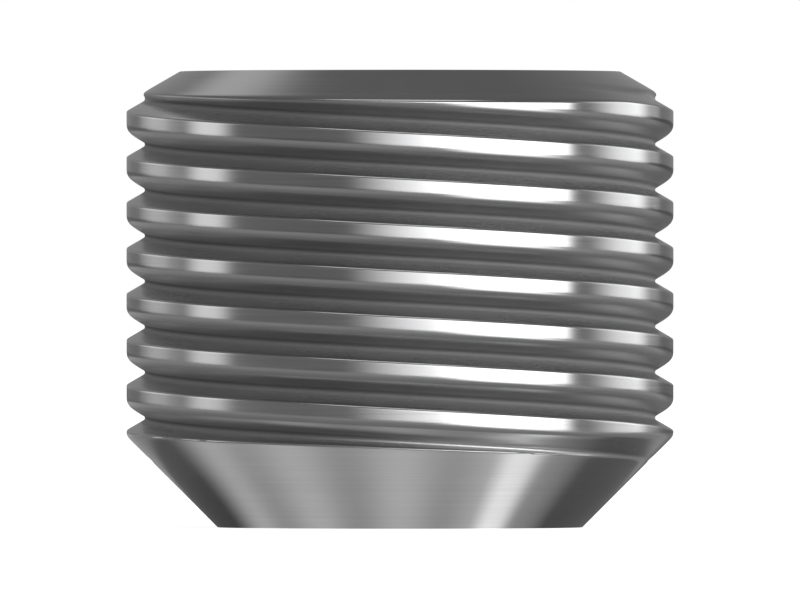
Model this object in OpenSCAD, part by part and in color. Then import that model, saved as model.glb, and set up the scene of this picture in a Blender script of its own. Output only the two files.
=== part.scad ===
// Grub set screw: a headless screw with a hexagon socket in one end and a flat point on the other.
// It stands on its point, with its axis on Z and the point's face at Z = 0. Sizes are in millimetres.

/* [Thread] */
// Diameter over the thread crests
thread_d = 6; // [5.6:0.1:7]
// Axial distance from one groove to the next
thread_pitch = 0.5; // [0.4:0.05:0.8]
// Number of grooves that run side by side
thread_starts = 2; // [1, 2, 3]
// Depth of the grooves below the crests
groove_depth = 0.2; // [0.12:0.01:0.25]
// Angle between the two flanks of a groove
flank_angle = 60; // [55:1:65]
// Radius that rounds the bottom of a groove
root_radius = 0.04; // [0.02:0.01:0.06]
// Which way the thread winds
thread_hand = "left"; // [left, right]
// Height above the point's face of a groove's bottom, on the front of the screw
groove_start = 0.45; // [0:0.01:0.5]

/* [Ends] */
// Length over both ends
screw_length = 5; // [4.5:0.1:6]
// Diameter of the flat point
point_d = 4; // [3.4:0.1:4.6]
// Angle between the point's face and the cone behind it
point_angle = 45; // [40:1:50]
// Outer diameter of the flat ring around the socket
ring_d = 4.83; // [4.4:0.01:5.2]
// Angle between that ring and the chamfer outside it
chamfer_angle = 30; // [25:1:40]

/* [Hexagon socket] */
// Distance across the flats of the hexagon
socket_flats = 3.05; // [2.9:0.01:3.15]
// Depth of the full hexagon below the ring
socket_depth = 2; // [1.5:0.1:2.4]
// Diameter of the drill that opened the socket
drill_d = 2.8; // [2.5:0.05:2.85]
// Angle of the drill's tip
drill_angle = 120; // [110:1:130]
// Diameter of the countersink at the socket's mouth
mouth_d = 3.75; // [3.7:0.05:4.2]
// Angle of that countersink
mouth_angle = 120; // [110:1:130]

/* [Hidden] */
$fn = 96;

thread_r = thread_d / 2;
point_h = (thread_r - point_d / 2) * tan(point_angle);
chamfer_h = (thread_r - ring_d / 2) * tan(chamfer_angle);

// The climb of a groove in one turn
lead = thread_starts * thread_pitch;
hand = thread_hand == "left" ? -1 : 1;

// The thread's outline over one pitch, as [height, radius]: a ridge, then the rounded bottom of a groove.
// The ridge is where the flanks would meet. It stands outside the turned blank, which leaves a flat land.
root_r = thread_r - groove_depth;
root_turn = 90 - flank_angle / 2;
root_steps = 3;
root_points = [
    for (i = [0 : root_steps])
        let (turn = root_turn * (2 * i / root_steps - 1))
        [thread_pitch / 2 + root_radius * sin(turn), root_r + root_radius * (1 - cos(turn))]
];
ridge_r = root_points[0][1] + root_points[0][0] / tan(flank_angle / 2);
outline = concat([[0, ridge_r]], root_points);

// The threaded bar is longer than the screw by this much at each end
bar_spare = 0.1;
// Flat steps round the bar
steps = 72;
// Points up the bar at each step: whole pitches, and one more pitch for the climb
rows = len(outline) * (ceil((screw_length + 2 * bar_spare) / thread_pitch) + 1);

// A cutting solid reaches this far past the face that it cuts
cut_spare = 0.2;

// The screw as it is turned, before its thread and its socket are cut
module turned_blank() {
    rotate_extrude()
        polygon([
            [0, 0],
            [point_d / 2, 0],
            [thread_r, point_h],
            [thread_r, screw_length - chamfer_h],
            [ring_d / 2, screw_length],
            [0, screw_length]
        ]);
}

// The outline's rise at a step round the bar, from 0 up to one pitch.
// The front of the screw, where a groove has its stated height, is three quarters of a turn from step 0.
function rise(step) =
    let (turns = step % steps / steps + 1 / 4)
    let (height = groove_start - thread_pitch / 2 + bar_spare + hand * lead * turns)
    height - thread_pitch * floor(height / thread_pitch);

// The number of rows by which the outline slips between a step and the next, where its rise starts again
function slip(step) =
    round((rise(step + 1) - rise(step) - hand * lead / steps) / thread_pitch) * len(outline);

function bar_point(step, row) =
    let (place = outline[row % len(outline)])
    let (angle = 360 * step / steps)
    let (pitches_up = floor(row / len(outline)) - 1)
    [
        place[1] * cos(angle),
        place[1] * sin(angle),
        place[0] + thread_pitch * pitches_up + rise(step) - bar_spare
    ];

// The place of a point in the bar's list of points
function at(step, row) = (step % steps) * (rows + 1) + row;

// Two triangles between a step and the next, from a row to the row above
function side_faces(step, row, slipped) = [
    [at(step, row), at(step + 1, row + 1 - slipped), at(step + 1, row - slipped)],
    [at(step, row), at(step, row + 1), at(step + 1, row + 1 - slipped)]
];

// The points round the bottom of the bar from a step to the next, with the wall of a slip between them
function bottom_edge(step, slipped) = concat(
    [for (row = [0 : 1 : max(0, slipped)]) at(step, row)],
    [for (row = [-slipped : -1 : 1]) at(step + 1, row)]
);

// The same round the top of the bar
function top_edge(step, slipped) = concat(
    [for (row = [rows : -1 : rows + min(0, slipped)]) at(step, row)],
    [for (row = [rows - slipped : 1 : rows - 1]) at(step + 1, row)]
);

// A threaded bar whose ends lie outside the turned blank
module threaded_bar() {
    side = [for (step = [0 : steps - 1]) for (row = [0 : rows]) bar_point(step, row)];
    centres = [[0, 0, -bar_spare], [0, 0, screw_length + bar_spare]];
    bottom = [for (step = [0 : steps - 1]) each bottom_edge(step, slip(step))];
    top = [for (step = [0 : steps - 1]) each top_edge(step, slip(step))];
    polyhedron(
        points = concat(side, centres),
        faces = concat(
            [
                for (step = [0 : steps - 1])
                    let (slipped = slip(step))
                    for (row = [max(0, slipped) : rows - 1 + min(0, slipped)])
                        each side_faces(step, row, slipped)
            ],
            [for (i = [0 : len(bottom) - 1]) [len(side), bottom[i], bottom[(i + 1) % len(bottom)]]],
            [for (i = [0 : len(top) - 1]) [len(side) + 1, top[(i + 1) % len(top)], top[i]]]
        )
    );
}

// What is cut from the socket end: a drilled hole with a conical floor, a hexagon and a countersink
module socket_cut() {
    drill_tip_h = drill_d / 2 / tan(drill_angle / 2);
    mouth_h = mouth_d / 2 / tan(mouth_angle / 2);
    translate([0, 0, screw_length - socket_depth - drill_tip_h])
        cylinder(d1 = 0, d2 = drill_d, h = drill_tip_h);
    translate([0, 0, screw_length - socket_depth])
        cylinder(d = socket_flats / cos(30), h = socket_depth + cut_spare, $fn = 6);
    translate([0, 0, screw_length - mouth_h])
        cylinder(r1 = 0, r2 = (mouth_h + cut_spare) * tan(mouth_angle / 2), h = mouth_h + cut_spare);
}

module set_screw() {
    color("dimgray")
        difference() {
            intersection() {
                turned_blank();
                threaded_bar();
            }
            socket_cut();
        }
}

set_screw();
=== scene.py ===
# %% [markdown]
# # A grub screw in turned steel
# A grub screw has no head. It is a short threaded bar with a flat point at one end and a hexagon socket at
# the other. Everything here is one piece of steel, so the lesson makes one mesh: a threaded barrel, and the
# two ends that close it.
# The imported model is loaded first. It is the frame: it says where the screw stands and how large it is.

# %% Load the frame
import math

import bmesh
import bpy
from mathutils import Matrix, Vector


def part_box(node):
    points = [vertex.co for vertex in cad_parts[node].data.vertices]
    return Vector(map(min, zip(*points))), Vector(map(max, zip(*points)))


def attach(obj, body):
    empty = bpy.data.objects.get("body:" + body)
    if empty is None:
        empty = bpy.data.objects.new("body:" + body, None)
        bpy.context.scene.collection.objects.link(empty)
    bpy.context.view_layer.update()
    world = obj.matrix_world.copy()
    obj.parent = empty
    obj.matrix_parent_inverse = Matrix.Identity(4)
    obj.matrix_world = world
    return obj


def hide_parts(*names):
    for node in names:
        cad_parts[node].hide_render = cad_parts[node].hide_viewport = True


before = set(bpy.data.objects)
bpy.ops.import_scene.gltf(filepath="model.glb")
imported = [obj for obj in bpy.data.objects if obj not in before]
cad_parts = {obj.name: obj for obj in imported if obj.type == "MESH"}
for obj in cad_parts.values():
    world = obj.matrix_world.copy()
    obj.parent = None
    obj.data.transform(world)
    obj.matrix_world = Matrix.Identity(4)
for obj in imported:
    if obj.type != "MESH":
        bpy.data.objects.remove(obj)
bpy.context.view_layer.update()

MM = 0.001
NODE = "set_screw"
screw_low, screw_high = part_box(NODE)
print("packed screw, mm:", [round(side / MM, 3) for side in screw_high - screw_low])

# %% [markdown]
# ## The sizes of the screw
# The length and the diameter come from the frame. The other sizes are the same ones that the solid has.
# A size that a maker would read off a drawing is written here once, and every later cell works from it.

# %% Sizes
screw_length = screw_high.z - screw_low.z
thread_r = (screw_high.x - screw_low.x) / 2

thread_pitch = 0.5 * MM
thread_starts = 2
thread_hand = -1            # left-handed: the grooves fall to the right on the near side
groove_depth = 0.2 * MM
groove_start = 0.45 * MM    # height of a groove's bottom on the front of the screw
flank_angle = math.radians(60)
root_radius = 0.04 * MM

point_r = 2.0 * MM
point_angle = math.radians(45)
ring_r = 4.83 / 2 * MM
chamfer_angle = math.radians(30)

socket_flats = 3.05 * MM
socket_depth = 2.0 * MM
drill_r = 1.4 * MM
drill_angle = math.radians(120)
mouth_r = 3.75 / 2 * MM
mouth_angle = math.radians(120)

lead = thread_starts * thread_pitch
print("one turn of a groove climbs, mm:", lead / MM)

# %% [markdown]
# ## The camera
# The photograph looks at the screw from the side, level with its middle, through a long lens: the near rims
# bow by only one or two pixels. A long lens is a narrow angle from far away. The lens is worked out from how
# wide the screw is in the picture, so the framing is right without trying.

# %% Camera
camera_distance = 300 * MM
photo_width = 800
screw_width_in_photo = 547
screw_rise_in_photo = 0.6   # pixels from the picture's middle up to the screw's middle

camera_data = bpy.data.cameras.new("studio_camera")
camera = bpy.data.objects.new("studio_camera", camera_data)
bpy.context.scene.collection.objects.link(camera)
outline_distance = math.sqrt(camera_distance ** 2 - thread_r ** 2)
camera_data.lens = (camera_data.sensor_width * screw_width_in_photo / photo_width
                    * outline_distance / (2 * thread_r))
pixel = 2 * thread_r / screw_width_in_photo
camera.location = (0, -camera_distance, screw_length / 2 - screw_rise_in_photo * pixel)
camera.rotation_euler = (math.radians(90), 0, 0)
camera_data.clip_start = 10 * MM
camera_data.clip_end = 20.0
bpy.context.scene.camera = camera
bpy.context.scene.view_settings.view_transform = "Standard"
print("lens, mm:", round(camera_data.lens, 1))

# %% [markdown]
# ## Node helpers
# A shader and a Geometry Nodes tree are both built from the same Math node. This helper adds one, and takes
# either numbers or other nodes' sockets, so that a formula can be read from the code.

# %% Math helper
def calc(tree, operation, *values):
    """Adds a Math node and returns its output socket. A value is a number or a socket."""
    node = tree.nodes.new("ShaderNodeMath")
    node.operation = operation
    for socket, value in zip(node.inputs, values):
        if isinstance(value, bpy.types.NodeSocket):
            tree.links.new(value, socket)
        else:
            socket.default_value = value
    return node.outputs[0]


def fill(tree, node, **values):
    """Sets a node's inputs by name, with numbers or sockets. An underscore in a name stands for a space."""
    for name, value in values.items():
        socket = node.inputs[name.replace("_", " ")]
        if isinstance(value, bpy.types.NodeSocket):
            tree.links.new(value, socket)
        else:
            socket.default_value = value
    return node


# %% [markdown]
# ## The floor and the white background
# A product picture on white is made in front of a paper sheet that is lit by itself. Here the paper lights
# itself: the floor and the world give off white, but only towards the camera and towards what shines in
# metal or shows through glass. Towards everything else they stay dim, so they don't flood the screw with
# light, and the floor still shows the soft shadow under the screw.

# %% Which rays see the white
def sees_white(tree):
    """Returns two sockets: 1 for rays from the camera, and 1 for rays that metal or glass sends on."""
    rays = tree.nodes.new("ShaderNodeLightPath").outputs
    return rays["Is Camera Ray"], calc(tree, "MAXIMUM", rays["Is Glossy Ray"], rays["Is Transmission Ray"])


# %% Soft limits
def ease(tree, value, low, high, at_low, at_high):
    """Leads softly from one value to another while the input goes from low to high."""
    node = fill(tree, tree.nodes.new("ShaderNodeMapRange"), Value=value, From_Min=low, From_Max=high,
                To_Min=at_low, To_Max=at_high)
    node.interpolation_type = "SMOOTHSTEP"
    return node.outputs["Result"]


def sector(tree, bearing, left, right, soft):
    """Returns 1 where a bearing lies between two limits, with soft edges.

    The bearing is a socket in radians, and the limits and the width of the edges are in degrees.
    """
    left, right, soft = (math.radians(degrees) for degrees in (left, right, soft))
    return calc(tree, "MULTIPLY", ease(tree, bearing, left - soft, left + soft, 0.0, 1.0),
                ease(tree, bearing, right - soft, right + soft, 1.0, 0.0))


# %% Paper sheet
FLOOR_HALF = 2.0            # metres, so that its far edge lies close to the horizon
floor_mesh = bpy.data.meshes.new("paper_floor")
sheet = bmesh.new()
bmesh.ops.create_grid(sheet, x_segments=8, y_segments=8, size=FLOOR_HALF)
sheet.to_mesh(floor_mesh)
sheet.free()
floor = bpy.data.objects.new("paper_floor", floor_mesh)
bpy.context.scene.collection.objects.link(floor)

paper = bpy.data.materials.new("white paper")
paper.use_nodes = True
paper_tree = paper.node_tree
paper_shader = paper_tree.nodes["Principled BSDF"]
paper_shader.inputs["Roughness"].default_value = 0.9
paper_shader.inputs["Emission Color"].default_value = (1, 1, 1, 1)
floor_mesh.materials.append(paper)

# %% Where a spot of the paper lies
def paper_math(operation, *values):
    return calc(paper_tree, operation, *values)


paper_place = paper_tree.nodes.new("ShaderNodeTexCoord")
from_axis = paper_tree.nodes.new("ShaderNodeVectorMath")
from_axis.operation = "LENGTH"
paper_tree.links.new(paper_place.outputs["Object"], from_axis.inputs[0])
far = from_axis.outputs["Value"]
spot = fill(paper_tree, paper_tree.nodes.new("ShaderNodeSeparateXYZ"), Vector=paper_place.outputs["Object"])
paper_bearing = paper_math("ARCTAN2", spot.outputs["X"], paper_math("MULTIPLY", spot.outputs["Y"], -1))


def outwards(near_and_far, at_near, at_far):
    """Leads from one value to another between two distances from the screw's axis, in mm."""
    return ease(paper_tree, far, near_and_far[0] * MM, near_and_far[1] * MM, at_near, at_far)


# %% [markdown]
# ## What the metal sees of the paper
# The cone under the thread mirrors the paper at the screw's foot. In the photograph it is mid grey in the
# middle, with soft streaks towards the point, one bright streak on the right, and dark on both sides. So the
# paper is given a painted reflection that only the metal sees: it glows bright at the foot in front, in soft
# painted streaks, and brightest in a wedge where the bright streak is. To the camera it is white everywhere.
# The streaks in the photograph run straight up the cone. A part of the cone that stands a height z above the
# paper, r from the axis, mirrors a spot that lies about (1 + z / r) times as far round as that part faces,
# and on a cone of 45 degrees z / r is 1 - (point's radius) / r. So the streaks go by that direction.
# The lands between the grooves turn down a little at their lower edges, and there they mirror the paper
# further out. It is dim there, and painted shade on the paper behind the screw on the right keeps the right
# rim dark. A glowing patch painted on the paper under the key softbox carries the softbox's reflection on,
# strongest in the middle, which gives the bright bands their bowed and soft lower edges.

# %% How bright the paper looks
NEAR_WHITE = 0.86           # to the camera near the screw, where the lamps add the rest and its shadow shows
FOOT_GLOW = 0.76            # to the metal, at the foot in front
STREAK_RIPPLE_GLOW = 0.15            # how much that goes up and down from streak to streak
STREAK_RIPPLE_STEP = 25              # degrees from one streak to the next
WEDGE_GLOW = 1.0            # what the bright streak adds
NEAR_GLOW = 0.24            # to the metal, around the foot
OUTER_GLOW = 0.32           # further out
FAR_GLOW = 0.06             # and far off, where the paper is painted dim for the metal, as painted shade
PAINTED_SHADE_SHARE = 0.6           # the share of the light around the foot that the painted shade behind the screw takes away
KEY_PATCH_PAINTED_GLOW = 3.2        # on a glowing patch painted on the paper under the key softbox, seen only by the metal

# %% Where those parts of the paper lie
# Bearings of the left and the right edge and how soft they are, in degrees. The first two are the way that
# the cone faces.
WEDGE = (24.5, 34, 3.5)
FOOT_FRONT = (-55, 43, 12)
PAINTED_SHADE_BEARINGS = (137, 170, 10)
KEY_PATCH_BEARINGS = (23, 63, 15)

# Distances from the axis between which a part ends or begins, in mm
FOOT_END = (3.2, 3.9)
AROUND_START = (3.2, 4.2)
AROUND_OUTER = (6, 10)
AROUND_END = (30, 50)
KEY_PATCH_START = (6, 16)
WHITE_RISE = (6, 60)

# %% The paper's glow
# Painted reflection: the paper's glow at the foot, in streaks and a bright wedge, is seen only by the metal.
cone_facing = paper_math("DIVIDE", paper_bearing,
                         paper_math("SUBTRACT", 2.0, paper_math("DIVIDE", point_r, far)))
streak_ripples = paper_math("COSINE", paper_math("MULTIPLY", cone_facing, 360 / STREAK_RIPPLE_STEP))
wedge = sector(paper_tree, cone_facing, *WEDGE)
streaks = paper_math("MULTIPLY_ADD", wedge, WEDGE_GLOW,
                     paper_math("MULTIPLY_ADD", streak_ripples, STREAK_RIPPLE_GLOW, FOOT_GLOW))
at_foot = paper_math("MULTIPLY", sector(paper_tree, cone_facing, *FOOT_FRONT), outwards(FOOT_END, 1.0, 0.0))

# Painted shade: a patch of the paper behind the screw on the right is darker to the metal.
painted_shade = sector(paper_tree, paper_bearing, *PAINTED_SHADE_BEARINGS)
around = paper_math("MULTIPLY", outwards(AROUND_START, 0.0, 1.0), outwards(AROUND_END, 1.0, 0.0))
around = paper_math("MULTIPLY", around, paper_math("MULTIPLY_ADD", painted_shade, -PAINTED_SHADE_SHARE, 1.0))
around = paper_math("MULTIPLY", around, outwards(AROUND_OUTER, NEAR_GLOW, OUTER_GLOW))
# Painted reflection: a glowing patch on the paper under the key softbox, seen only by the metal.
painted_key_glow = paper_math("MULTIPLY", outwards(KEY_PATCH_START, 0.0, KEY_PATCH_PAINTED_GLOW),
                       sector(paper_tree, paper_bearing, *KEY_PATCH_BEARINGS))
in_metal = paper_math("MAXIMUM", paper_math("MULTIPLY_ADD", at_foot, streaks, around),
                      paper_math("MAXIMUM", painted_key_glow, FAR_GLOW))

from_camera, shining = sees_white(paper_tree)
paper_glow = paper_math("MULTIPLY_ADD", from_camera, outwards(WHITE_RISE, NEAR_WHITE, 1.0),
                        paper_math("MULTIPLY", shining, in_metal))
paper_tree.links.new(paper_glow, paper_shader.inputs["Emission Strength"])

# %% The paper's own white
PAPER_WHITE = 0.4           # the share of the lamps' light that it gives back
LESS_IN_METAL = 0.2         # how much less that is in the metal
LESS_ON_PAINTED_SHADE = 0.12        # and less again where the painted shade lies

less_white = paper_math("MULTIPLY_ADD", painted_shade, -LESS_ON_PAINTED_SHADE, -LESS_IN_METAL)
paper_tree.links.new(paper_math("MULTIPLY_ADD", shining, less_white, PAPER_WHITE),
                     paper_shader.inputs["Base Color"])

# %% [markdown]
# ## What the metal sees of the room
# Polished steel has hardly a colour of its own: it shows the room. To the camera the world is plain white.
# In the metal it is a dim room, with two white wings of the backdrop at the back, left and right of the
# screw. Straight behind the screw it stays dim, as if a black card stood there, and that draws the dark rims
# that the photograph shows at both sides.

# %% World
ROOM = 0.33                 # how bright the dim room looks in the metal
ROOM_TOP = 0.23             # the same high up
AMBIENT = 0.42              # its even light on everything that isn't shiny
WINGS = (114, 143, 7)       # bearings of a white wing's edges and how soft they are, in degrees
WING_TOP = (0.3, 0.5)       # between these a wing ends, as the sine of the height above the horizon
ROOM_CHANGE = (0.4, 0.8)    # and between these the room turns darker

world = bpy.data.worlds.new("studio")
bpy.context.scene.world = world
world.use_nodes = True
world_tree = world.node_tree
backdrop = world_tree.nodes["Background"]
backdrop.inputs["Color"].default_value = (1, 1, 1, 1)
world_place = world_tree.nodes.new("ShaderNodeTexCoord")
direction = fill(world_tree, world_tree.nodes.new("ShaderNodeSeparateXYZ"),
                 Vector=world_place.outputs["Generated"])
room_bearing = calc(world_tree, "ARCTAN2", calc(world_tree, "ABSOLUTE", direction.outputs["X"]),
                    calc(world_tree, "MULTIPLY", direction.outputs["Y"], -1))
wings = calc(world_tree, "MULTIPLY", sector(world_tree, room_bearing, *WINGS),
             ease(world_tree, direction.outputs["Z"], *WING_TOP, 1.0, 0.0))
dim_room = ease(world_tree, direction.outputs["Z"], *ROOM_CHANGE, ROOM, ROOM_TOP)
room_glow = calc(world_tree, "MAXIMUM", wings, dim_room)

from_camera, shining = sees_white(world_tree)
white_seen = calc(world_tree, "MULTIPLY_ADD", shining, room_glow, from_camera)
other_rays = calc(world_tree, "SUBTRACT", calc(world_tree, "SUBTRACT", 1.0, from_camera), shining)
world_tree.links.new(calc(world_tree, "MULTIPLY_ADD", other_rays, AMBIENT, white_seen),
                     backdrop.inputs["Strength"])

# %% [markdown]
# ## The softboxes
# A cylinder mirrors a ring of directions: its front shows what stands in front, and its sides show what
# stands beside and behind it. So each bright band in the photograph is one lamp's reflection, and its place
# on the screw says where the lamp stands. Each softbox is given by the directions that it fills, seen from
# the screw, by how bright its cloth looks, and by how far in its edges fade. The key softbox fades over more
# than half its width, which gives the soft start of the bright bands.

# %% Softbox helpers
LAMP_DISTANCE = 60 * MM


def edge_fade(tree, value, at_start, at_end):
    """Fades in and out over these shares of a range from 0 to 1. A share of 0 is no fade."""
    rising = ease(tree, value, 0.0, at_start, 0.0, 1.0) if at_start else 1.0
    falling = ease(tree, value, 1 - at_end, 1.0, 1.0, 0.0) if at_end else 1.0
    return calc(tree, "MULTIPLY", rising, falling)


def graded_cloth(lamp_data, fades):
    """Makes a lamp's cloth fade towards its left, right, lower and upper edges, by shares of its size."""
    lamp_data.use_nodes = True
    lamp_tree = lamp_data.node_tree
    spread = fill(lamp_tree, lamp_tree.nodes.new("ShaderNodeSeparateXYZ"),
                  Vector=lamp_tree.nodes.new("ShaderNodeNewGeometry").outputs["Parametric"]).outputs
    graded = calc(lamp_tree, "MULTIPLY", edge_fade(lamp_tree, spread["X"], *fades[:2]),
                  edge_fade(lamp_tree, spread["Y"], *fades[2:]))
    lamp_tree.links.new(graded, lamp_tree.nodes["Emission"].inputs["Strength"])


def softbox(name, left, right, lowest, highest, brightness, fades):
    """Hangs a softbox. Its edges are bearings from the front towards the right, and heights, in degrees."""
    lamp_data = bpy.data.lights.new(name, "AREA")
    lamp_data.shape = "RECTANGLE"
    lamp_data.size = 2 * LAMP_DISTANCE * math.tan(math.radians((right - left) / 2))
    lamp_data.size_y = 2 * LAMP_DISTANCE * math.tan(math.radians((highest - lowest) / 2))
    # The power that makes a flat cloth of this size look this bright
    lamp_data.energy = brightness * math.pi * lamp_data.size * lamp_data.size_y
    lamp = bpy.data.objects.new(name, lamp_data)
    bpy.context.scene.collection.objects.link(lamp)
    bearing = math.radians((left + right) / 2)
    lift = math.radians((lowest + highest) / 2)
    lamp.location = LAMP_DISTANCE * Vector((math.sin(bearing) * math.cos(lift),
                                            -math.cos(bearing) * math.cos(lift), math.sin(lift)))
    lamp.rotation_euler = (math.pi / 2 - lift, 0, bearing)
    lamp.visible_camera = False
    graded_cloth(lamp_data, fades)
    print(name, "power, W:", round(lamp_data.energy, 4))


# %% Softboxes
# Name, bearings of the left and the right edge, heights of the lower and the upper edge, brightness, and the
# fades towards the left, right, lower and upper edge
softbox("key_softbox", -24, 78.5, 0, 26, 4.2, (0.63, 0.1, 0, 0.5))
softbox("right_back_strip", 81, 131, 0, 38, 1.95, (0.55, 0.3, 0, 0.3))
softbox("left_strip", -105, -71, 0, 34, 1.55, (0.45, 0.35, 0, 0.3))
softbox("left_back_strip", -136, -100, 0, 34, 0.35, (0.3, 0.2, 0, 0.3))
softbox("high_back_card", -180, -142, 30, 60, 0.53, (0.3, 0.4, 0.45, 0.45))
softbox("overhead_softbox", -24, 24, 58, 90, 1.3, (0.2, 0.2, 0.2, 0.2))

# %% [markdown]
# ## The steel
# The bar was turned on a lathe, so its skin has very fine rings that run round the axis. The hexagon was
# pushed through with a broach, so its walls have fine lines that run up and down. Both are the same effect, a
# noise that is stretched far in one direction, so both come from one node group with other scales. It reads
# Object coordinates: they never slide, and they need no unwrapping.

# %% Tool marks group
CLOUDS_A_METRE = 700.0      # soft patches of 1 to 2 mm, where the steel is a little duller or darker
marks = bpy.data.node_groups.new("Tool marks", "ShaderNodeTree")
for name, kind in (("Position", "NodeSocketVector"), ("Lines across", "NodeSocketFloat"),
                   ("Lines up", "NodeSocketFloat"), ("Lines outward", "NodeSocketFloat")):
    marks.interface.new_socket(name=name, in_out="INPUT", socket_type=kind)
for name in ("Height", "Cloud"):
    marks.interface.new_socket(name=name, in_out="OUTPUT", socket_type="NodeSocketFloat")
marks_in = marks.nodes.new("NodeGroupInput").outputs
point = fill(marks, marks.nodes.new("ShaderNodeSeparateXYZ"), Vector=marks_in["Position"]).outputs
outward = calc(marks, "SQRT", calc(marks, "ADD", calc(marks, "MULTIPLY", point["X"], point["X"]),
                                   calc(marks, "MULTIPLY", point["Y"], point["Y"])))
stretched = fill(marks, marks.nodes.new("ShaderNodeCombineXYZ"),
                 X=calc(marks, "MULTIPLY", point["X"], marks_in["Lines across"]),
                 Y=calc(marks, "MULTIPLY", point["Y"], marks_in["Lines across"]),
                 Z=calc(marks, "MULTIPLY", point["Z"], marks_in["Lines up"]))
lines = marks.nodes.new("ShaderNodeTexNoise")
lines.noise_dimensions = "4D"
fill(marks, lines, Vector=stretched.outputs["Vector"], Scale=1.0, Detail=2.0, Roughness=0.6,
     W=calc(marks, "MULTIPLY", outward, marks_in["Lines outward"]))
clouds = marks.nodes.new("ShaderNodeTexNoise")
fill(marks, clouds, Vector=marks_in["Position"], Scale=CLOUDS_A_METRE, Detail=3.0, Roughness=0.55)
marks_out = marks.nodes.new("NodeGroupOutput").inputs
marks.links.new(lines.outputs["Fac"], marks_out["Height"])
marks.links.new(clouds.outputs["Fac"], marks_out["Cloud"])

# %% [markdown]
# ## The steel's shader
# The steel's own colour hardly changes over the screw. What changes is the polish. The lands between the
# grooves are smooth, and the socket's walls are dull from the broach. The grooves are dull too, with a thin
# film of oil in them that takes some of the metal's shine, and their bottoms are painted darker as painted
# shade. When the screw is tightened on its point, the flanks that face the socket end carry the load, so they
# are rubbed smoother than the others; they are also painted lighter, and the other flanks darker, as painted
# light and shade. The mesh keeps three values on its points that say where these places are: how deep in a
# groove a point lies, whether it is on a flank that faces the socket end, and whether it is in the socket.

# %% Steel
steel = bpy.data.materials.new("turned steel")
steel.use_nodes = True
steel_tree = steel.node_tree
shader = steel_tree.nodes["Principled BSDF"]


def steel_math(operation, *values):
    return calc(steel_tree, operation, *values)


def ramp(value, low, high, at_low, at_high):
    """Turns a value between two limits into a value between two others."""
    node = fill(steel_tree, steel_tree.nodes.new("ShaderNodeMapRange"), Value=value, From_Min=low,
                From_Max=high, To_Min=at_low, To_Max=at_high)
    return node.outputs["Result"]


def stored(name):
    """Reads a value that the mesh keeps on its points."""
    node = steel_tree.nodes.new("ShaderNodeAttribute")
    node.attribute_name = name
    return node.outputs["Fac"]


def tool_marks(title, across, up, out):
    """Adds the group with its own scales: how many times a metre the noise changes in each direction."""
    node = steel_tree.nodes.new("ShaderNodeGroup")
    node.node_tree = marks
    node.label = title
    fill(steel_tree, node, Position=steel_place.outputs["Object"], Lines_across=across, Lines_up=up,
         Lines_outward=out)
    return node.outputs


# %% Where the steel is turned, broached, or in a groove
FILM_START = (0.15, 0.8)    # shares of a groove's depth between which the film of oil begins
FLANK_START = (0.01, 0.15)  # and between which a flank begins
ROOT_START = (0.72, 0.97)   # and its bottom, which is rougher and painted darker as painted shade
FILM_SHINE = 0.7            # how metallic the steel still looks under the film

steel_place = steel_tree.nodes.new("ShaderNodeTexCoord")
turned = tool_marks("turned", across=250.0, up=30000.0, out=30000.0)
broached = tool_marks("broached", across=26000.0, up=500.0, out=0.0)
in_socket = stored("socket")
in_groove = stored("groove_depth")
upward_flank = stored("upward_flank")
off_land = ramp(in_groove, *FLANK_START, 0.0, 1.0)
at_root = ramp(in_groove, *ROOT_START, 0.0, 1.0)
steel_tree.links.new(ramp(in_groove, *FILM_START, 1.0, FILM_SHINE), shader.inputs["Metallic"])

# %% Lines of the lathe and the broach
LINE_DEPTH = 0.00022 * MM

line_height = steel_math("ADD", steel_math("MULTIPLY", turned["Height"],
                                           steel_math("SUBTRACT", 1.0, in_socket)),
                         steel_math("MULTIPLY", broached["Height"], in_socket))
bump = fill(steel_tree, steel_tree.nodes.new("ShaderNodeBump"), Height=line_height, Strength=1.0,
            Distance=LINE_DEPTH)
steel_tree.links.new(bump.outputs["Normal"], shader.inputs["Normal"])

# %% How dull and how dark the steel is
LAND_DULLNESS = (0.13, 0.19)    # roughness of a land, from one cloud of the noise to the next
LINE_DULLNESS = 0.015           # what a fine line adds or takes away
FLANK_DULLNESS = (0.2, 0.12)    # what a flank adds: one that carries no load, and one that does
ROOT_DULLNESS = 0.45            # what the bottom of a groove adds
SOCKET_DULLNESS = 0.1
LAND_GREY = (0.345, 0.375)      # and the same for the colour
LINE_GREY = 0.012
# painted light and shade on the flanks: darker on the flank that faces down, lighter on the one that faces up
FLANK_PAINTED_LIGHT = (-0.1, 0.1)
# painted shade at the bottom of a groove
ROOT_PAINTED_SHADE = -0.15
COOL = 1.01                     # how much more blue than red the grey has
LINE_NOISE = (0.3, 0.7)         # most values of the lines' noise lie between these
CLOUD_NOISE = (0.3, 0.7)        # and the clouds' noise is spread over these, for the dullness
CLOUD_NOISE_GREY = (0.25, 0.75)


def add_where(total, mask, amount):
    """Adds an amount where a mask is 1."""
    return steel_math("ADD", total, steel_math("MULTIPLY", mask, amount))


dullness = steel_math("ADD", ramp(turned["Cloud"], *CLOUD_NOISE, *LAND_DULLNESS),
                      ramp(line_height, *LINE_NOISE, -LINE_DULLNESS, LINE_DULLNESS))
dullness = add_where(dullness, off_land, ramp(upward_flank, 0.0, 1.0, *FLANK_DULLNESS))
dullness = add_where(dullness, at_root, ROOT_DULLNESS)
dullness = add_where(dullness, in_socket, SOCKET_DULLNESS)
steel_tree.links.new(dullness, shader.inputs["Roughness"])

grey = steel_math("ADD", ramp(turned["Cloud"], *CLOUD_NOISE_GREY, *LAND_GREY),
                  ramp(line_height, *LINE_NOISE, -LINE_GREY, LINE_GREY))
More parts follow.
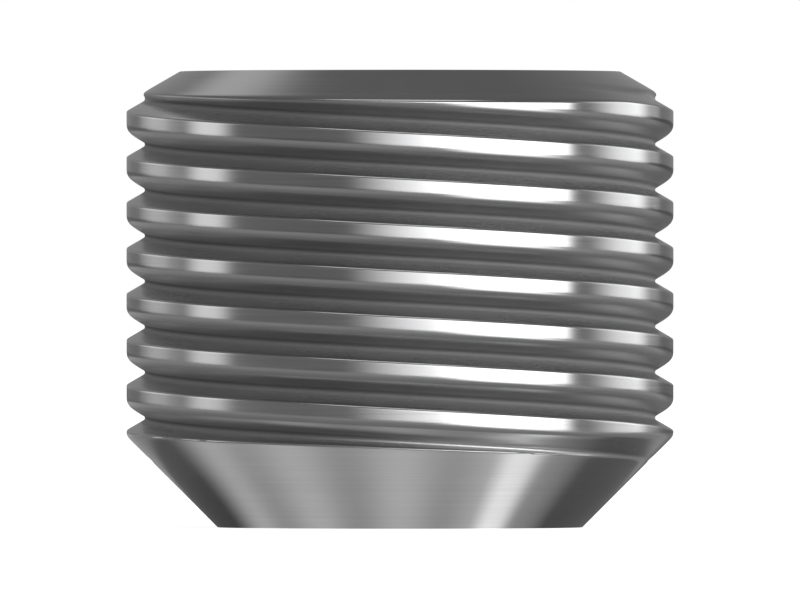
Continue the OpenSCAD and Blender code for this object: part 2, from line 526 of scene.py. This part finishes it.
# Painted light and shade: flanks facing the socket end are lighter, the others darker.
grey = add_where(grey, off_land, ramp(upward_flank, 0.0, 1.0, *FLANK_PAINTED_LIGHT))
# Painted shade: the bottom of a groove is darker.
grey = add_where(grey, at_root, ROOT_PAINTED_SHADE)
colour = fill(steel_tree, steel_tree.nodes.new("ShaderNodeCombineColor"), Red=grey, Green=grey,
              Blue=steel_math("MULTIPLY", grey, COOL))
steel_tree.links.new(colour.outputs["Color"], shader.inputs["Base Color"])

# %% [markdown]
# ## The threaded barrel
# On the real screw a die or a rolling tool leaves two grooves side by side, each a V with a rounded bottom,
# and between them flat lands of the bar that it started from. At both ends the grooves run out through a
# cone.
# A thread could be swept along a helix and cut from a bar, but the cut leaves ragged edges. Here the barrel
# is one sheet of faces wrapped round the axis, and each point asks two questions: how far out is the turned
# bar at this height, and how far out is the groove? The smaller answer wins. The rows of the sheet climb with
# the thread, so every edge of the thread lies along a row. Geometry Nodes suits this, because the shape
# follows a rule and the sizes stay open as named inputs.

# %% Barrel tree: inputs and outputs
COLUMNS = 192               # steps round the screw, a multiple of the hexagon's six
WELD = 0.0005 * MM          # points closer together than this become one
ROWS_PER_PITCH = 48         # a row is as high as a groove climbs in two columns, so rows and columns agree
BARREL_INPUTS = {
    "Thread radius": thread_r,
    "Pitch": thread_pitch,
    "Climb per turn": thread_hand * lead,
    "Groove start": groove_start,
    "Root radius": thread_r - groove_depth,
    "Flank slope": 1 / math.tan(flank_angle / 2),
    "Root rounding": root_radius,
    "Upper edge rounding": 0.02 * MM,       # of a land
    "Lower edge rounding": 0.18 * MM,
    "Run-out rounding": 0.05 * MM,          # more of it where a groove runs out through a cone
    "Screw length": screw_length,
    "Point radius": point_r,
    "Point slope": 1 / math.tan(point_angle),
    "Ring radius": ring_r,
    "Chamfer slope": 1 / math.tan(chamfer_angle),
    "Turned edge rounding": 0.06 * MM,
    "Low end": 0.5 * MM,                    # the barrel stops here, and the two ends are added later
    "High end": screw_length - 0.1 * MM,
    "Row height": thread_pitch / ROWS_PER_PITCH,
}
barrel_low = BARREL_INPUTS["Low end"]
barrel_high = BARREL_INPUTS["High end"]
barrel_rows = math.ceil((barrel_high - barrel_low + lead) / BARREL_INPUTS["Row height"])

barrel_tree = bpy.data.node_groups.new("Threaded barrel", "GeometryNodeTree")
barrel_tree.interface.new_socket(name="Geometry", in_out="OUTPUT", socket_type="NodeSocketGeometry")
for name in BARREL_INPUTS:
    barrel_tree.interface.new_socket(name=name, in_out="INPUT", socket_type="NodeSocketFloat")
for name in ("Columns", "Rows"):
    barrel_tree.interface.new_socket(name=name, in_out="INPUT", socket_type="NodeSocketInt")
barrel_tree.interface.new_socket(name="Material", in_out="INPUT", socket_type="NodeSocketMaterial")
print("barrel rows:", barrel_rows)

# %% Barrel tree: a point's turn and height
nodes = barrel_tree.nodes
given = nodes.new("NodeGroupInput").outputs


def barrel(operation, *values):
    return calc(barrel_tree, operation, *values)


grid = nodes.new("GeometryNodeMeshGrid")
fill(barrel_tree, grid, Size_X=1.0, Size_Y=1.0,
     Vertices_X=barrel("ADD", given["Columns"], 1), Vertices_Y=barrel("ADD", given["Rows"], 1))
grid_place = nodes.new("GeometryNodeInputPosition")
split = nodes.new("ShaderNodeSeparateXYZ")
fill(barrel_tree, split, Vector=grid_place.outputs["Position"])
turn = split.outputs["X"]                                   # from -0.5 to 0.5, and 0 on the front
row = barrel("MULTIPLY", barrel("ADD", split.outputs["Y"], 0.5), given["Rows"])
climb = barrel("MULTIPLY", turn, given["Climb per turn"])
first_height = barrel("SUBTRACT", given["Low end"],
                      barrel("MULTIPLY", barrel("ABSOLUTE", given["Climb per turn"]), 0.5))
bar_height = barrel("MULTIPLY_ADD", row, given["Row height"], first_height)
height = barrel("MINIMUM", barrel("MAXIMUM", barrel("ADD", bar_height, climb), given["Low end"]),
                given["High end"])

# %% Barrel tree: the turned bar and the groove
cone = barrel("MULTIPLY_ADD", height, given["Point slope"], given["Point radius"])
from_top = barrel("SUBTRACT", given["Screw length"], height)
chamfer = barrel("MULTIPLY_ADD", from_top, given["Chamfer slope"], given["Ring radius"])
bar_radius = barrel("SMOOTH_MIN", barrel("SMOOTH_MIN", cone, given["Thread radius"],
                                         given["Turned edge rounding"]),
                    chamfer, given["Turned edge rounding"])

half_pitch = barrel("MULTIPLY", given["Pitch"], 0.5)
above_groove = barrel("WRAP", barrel("SUBTRACT", barrel("SUBTRACT", height, climb), given["Groove start"]),
                      half_pitch, barrel("MULTIPLY", half_pitch, -1))
from_groove = barrel("ABSOLUTE", above_groove)
flank_foot = barrel("SUBTRACT", given["Root radius"], given["Root rounding"])
flank = barrel("MULTIPLY_ADD", from_groove, given["Flank slope"], flank_foot)
groove_radius = barrel("SMOOTH_MAX", flank, given["Root radius"], given["Root rounding"])

# The land's lower edge is rounded more than its upper one. Over the groove's bottom one passes into the
# other.
above_share = barrel("MULTIPLY_ADD", barrel("DIVIDE", above_groove, given["Root rounding"]), 0.5, 0.5)
above_share = barrel("MINIMUM", barrel("MAXIMUM", above_share, 0.0), 1.0)
edge_rounding = barrel("ADD", barrel("MULTIPLY", above_share, given["Lower edge rounding"]),
                       barrel("MULTIPLY", barrel("SUBTRACT", 1.0, above_share), given["Upper edge rounding"]))
on_a_cone = barrel("MINIMUM", barrel("SUBTRACT", given["Thread radius"], bar_radius),
                   given["Run-out rounding"])
radius = barrel("SMOOTH_MIN", bar_radius, groove_radius, barrel("ADD", edge_rounding, on_a_cone))

# %% Barrel tree: wrap, weld and finish
angle = barrel("MULTIPLY_ADD", turn, 2 * math.pi, -math.pi / 2)
wrapped = nodes.new("ShaderNodeCombineXYZ")
fill(barrel_tree, wrapped, X=barrel("MULTIPLY", radius, barrel("COSINE", angle)),
     Y=barrel("MULTIPLY", radius, barrel("SINE", angle)), Z=height)


def mesh_step(kind, mesh, **values):
    """Adds a node that takes the mesh so far."""
    node = nodes.new(kind)
    barrel_tree.links.new(mesh, node.inputs[0])
    fill(barrel_tree, node, **values)
    return node


def store(mesh, name, value):
    """Keeps a value on the mesh's points under a name, for the material to read."""
    node = mesh_step("GeometryNodeStoreNamedAttribute", mesh, Name=name, Value=value)
    return node.outputs["Geometry"]


groove_share = barrel("DIVIDE", barrel("SUBTRACT", bar_radius, radius),
                      barrel("SUBTRACT", given["Thread radius"], given["Root radius"]))
mesh = store(grid.outputs["Mesh"], "groove_depth", groove_share)
mesh = store(mesh, "upward_flank", barrel("SUBTRACT", 1.0, above_share))
mesh = mesh_step("GeometryNodeSetPosition", mesh, Position=wrapped.outputs["Vector"]).outputs["Geometry"]
mesh = mesh_step("GeometryNodeMergeByDistance", mesh, Distance=WELD).outputs["Geometry"]
mesh = mesh_step("GeometryNodeRealizeInstances", mesh).outputs["Geometry"]
mesh = mesh_step("GeometryNodeSetMaterial", mesh, Material=given["Material"]).outputs["Geometry"]
barrel_tree.links.new(mesh, nodes.new("NodeGroupOutput").inputs["Geometry"])
print("barrel tree nodes:", len(nodes))

# %% [markdown]
# ## From the tree to a mesh
# The modifier is given its values by the sockets' identifiers, and the result is taken as a plain mesh. Then
# the modifier goes, because the ends are still to be added.

# %% Barrel mesh
barrel_object = bpy.data.objects.new("threaded_barrel", bpy.data.meshes.new("threaded_barrel"))
bpy.context.scene.collection.objects.link(barrel_object)
modifier = barrel_object.modifiers.new("Threaded barrel", "NODES")
modifier.node_group = barrel_tree
barrel_values = dict(BARREL_INPUTS, Columns=COLUMNS, Rows=barrel_rows, Material=steel)
for item in barrel_tree.interface.items_tree:
    if item.in_out == "INPUT":
        modifier[item.identifier] = barrel_values[item.name]
bpy.context.view_layer.update()
evaluated = barrel_object.evaluated_get(bpy.context.evaluated_depsgraph_get())
barrel_mesh = bpy.data.meshes.new_from_object(evaluated)
barrel_object.modifiers.remove(modifier)
bpy.data.objects.remove(barrel_object)
print("barrel faces:", len(barrel_mesh.polygons))

# %% [markdown]
# ## The two ends
# Both ends are turned faces, apart from the hexagon. So each end is a profile, a short list of corners given
# as distance from the axis and height, and each corner is rounded a little, because no machined edge is
# perfectly sharp and a rounded one catches the light. The profile is placed at the same steps round the axis
# as the barrel, which lets both be welded. In the socket the distance from the axis changes from step to
# step: far at the hexagon's corners and near at its flats.

# %% Rounded profiles
def rounded(corners, steps=4, margin=0.012 * MM):
    """Rounds the corners of a profile. Each is (distance from the axis, height, rounding).

    A narrow strip, the margin, lies on each side of a rounding, so that the flat faces stay evenly shaded.
    """
    path = []
    for index, (out, up, rounding) in enumerate(corners):
        here = Vector((out, up))
        if rounding == 0:
            path.append(here)
            continue
        back = (Vector(corners[index - 1][:2]) - here).normalized()
        ahead = (Vector(corners[index + 1][:2]) - here).normalized()
        half_open = back.angle(ahead) / 2
        reach = rounding / math.tan(half_open)
        middle = here + (back + ahead).normalized() * rounding / math.sin(half_open)
        start = here + back * reach - middle
        end = here + ahead * reach - middle
        turn_angle = start.angle_signed(end)
        path.append(here + back * (reach + margin))
        for step in range(steps + 1):
            share = turn_angle * step / steps
            # angle_signed counts clockwise turns as positive
            path.append(middle + Vector((start.x * math.cos(share) + start.y * math.sin(share),
                                         start.y * math.cos(share) - start.x * math.sin(share))))
        path.append(here + ahead * (reach + margin))
    return path


# %% Profiles at one step round the axis
EDGE = 0.03 * MM            # rounding of the turned edges outside
SOCKET_EDGE = 0.02 * MM
POINT_INNER = 0.4 * MM      # where the fan of faces round the point's middle begins
SOCKET_INNER = 0.3 * MM     # and the one round the socket's middle
tip_height = screw_length - socket_depth - drill_r / math.tan(drill_angle / 2)


def hexagon_radius(angle):
    """How far out the hexagon's wall is. Its corners point along X, so its flats face 30 degrees off."""
    sixth = math.radians(60)
    off_flat = (angle - sixth / 2) % sixth
    if off_flat > sixth / 2:
        off_flat -= sixth
    return socket_flats / 2 / math.cos(off_flat)


def point_profile(angle):
    """The flat point and the cone's start, which are the same at every angle."""
    return rounded([
        (POINT_INNER, 0, 0),
        (point_r, 0, EDGE),
        (point_r + barrel_low / math.tan(point_angle), barrel_low, 0),
    ])


def socket_profile(angle):
    """The chamfer's end, the ring, the countersink, the hexagon's wall and the drilled cone below it."""
    wall = hexagon_radius(angle)
    floor_height = screw_length - socket_depth
    return rounded([
        (ring_r + (screw_length - barrel_high) / math.tan(chamfer_angle), barrel_high, 0),
        (ring_r, screw_length, EDGE),
        (mouth_r, screw_length, SOCKET_EDGE),
        (wall, screw_length - (mouth_r - wall) / math.tan(mouth_angle / 2), SOCKET_EDGE),
        (wall, floor_height, SOCKET_EDGE),
        (drill_r, floor_height, SOCKET_EDGE),
        (SOCKET_INNER, tip_height + SOCKET_INNER / math.tan(drill_angle / 2), 0),
    ])


# %% Weld the ends to the barrel
SOCKET_RIM = 0.05 * MM      # the countersink's outermost strip doesn't count as the socket
SHARP = math.radians(50)    # faces that meet at more than this keep a sharp edge between them

screw = bmesh.new()
screw.from_mesh(barrel_mesh)
socket_layer = screw.verts.layers.float.new("socket")


def add_end(profile, centre_height, centre_first):
    """Adds a profile at every step round the axis, faces between them, and a fan to its middle point."""
    centre = screw.verts.new((0, 0, centre_height))
    columns = []
    for step in range(COLUMNS):
        angle = 2 * math.pi * (step / COLUMNS - 0.5) - math.pi / 2
        columns.append([screw.verts.new((out * math.cos(angle), out * math.sin(angle), up))
                        for out, up in profile(angle)])
    for left, right in zip(columns, columns[1:] + columns[:1]):
        for index in range(len(left) - 1):
            screw.faces.new((left[index], right[index], right[index + 1], left[index + 1]))
        innermost = 0 if centre_first else -1
        screw.faces.new((left[innermost], right[innermost], centre))


add_end(point_profile, 0, True)
add_end(socket_profile, tip_height, False)
bmesh.ops.remove_doubles(screw, verts=screw.verts, dist=WELD)
bmesh.ops.recalc_face_normals(screw, faces=screw.faces)
for vert in screw.verts:
    inside = vert.co.xy.length < mouth_r - SOCKET_RIM and vert.co.z > tip_height - WELD
    vert[socket_layer] = 1.0 if inside else 0.0
for face in screw.faces:
    face.smooth = True
for edge in screw.edges:
    edge.smooth = len(edge.link_faces) != 2 or edge.calc_face_angle() < SHARP
open_edges = sum(1 for edge in screw.edges if len(edge.link_faces) != 2)
volume = screw.calc_volume(signed=True)
print("faces:", len(screw.faces), "open edges:", open_edges, "volume, mm3:", round(volume / MM ** 3, 2))

# %% The finished piece
screw_mesh = bpy.data.meshes.new("grub_screw")
screw.to_mesh(screw_mesh)
screw.free()
screw_mesh.materials.clear()
screw_mesh.materials.append(steel)
grub_screw = bpy.data.objects.new("grub_screw", screw_mesh)
bpy.context.scene.collection.objects.link(grub_screw)
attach(grub_screw, "root")
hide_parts(NODE)
triangles = sum(len(face.vertices) - 2 for face in screw_mesh.polygons)
print("triangles:", triangles)

# %% [markdown]
# ## The end
# The view layer is brought up to date.

# %% Finish
bpy.context.view_layer.update()
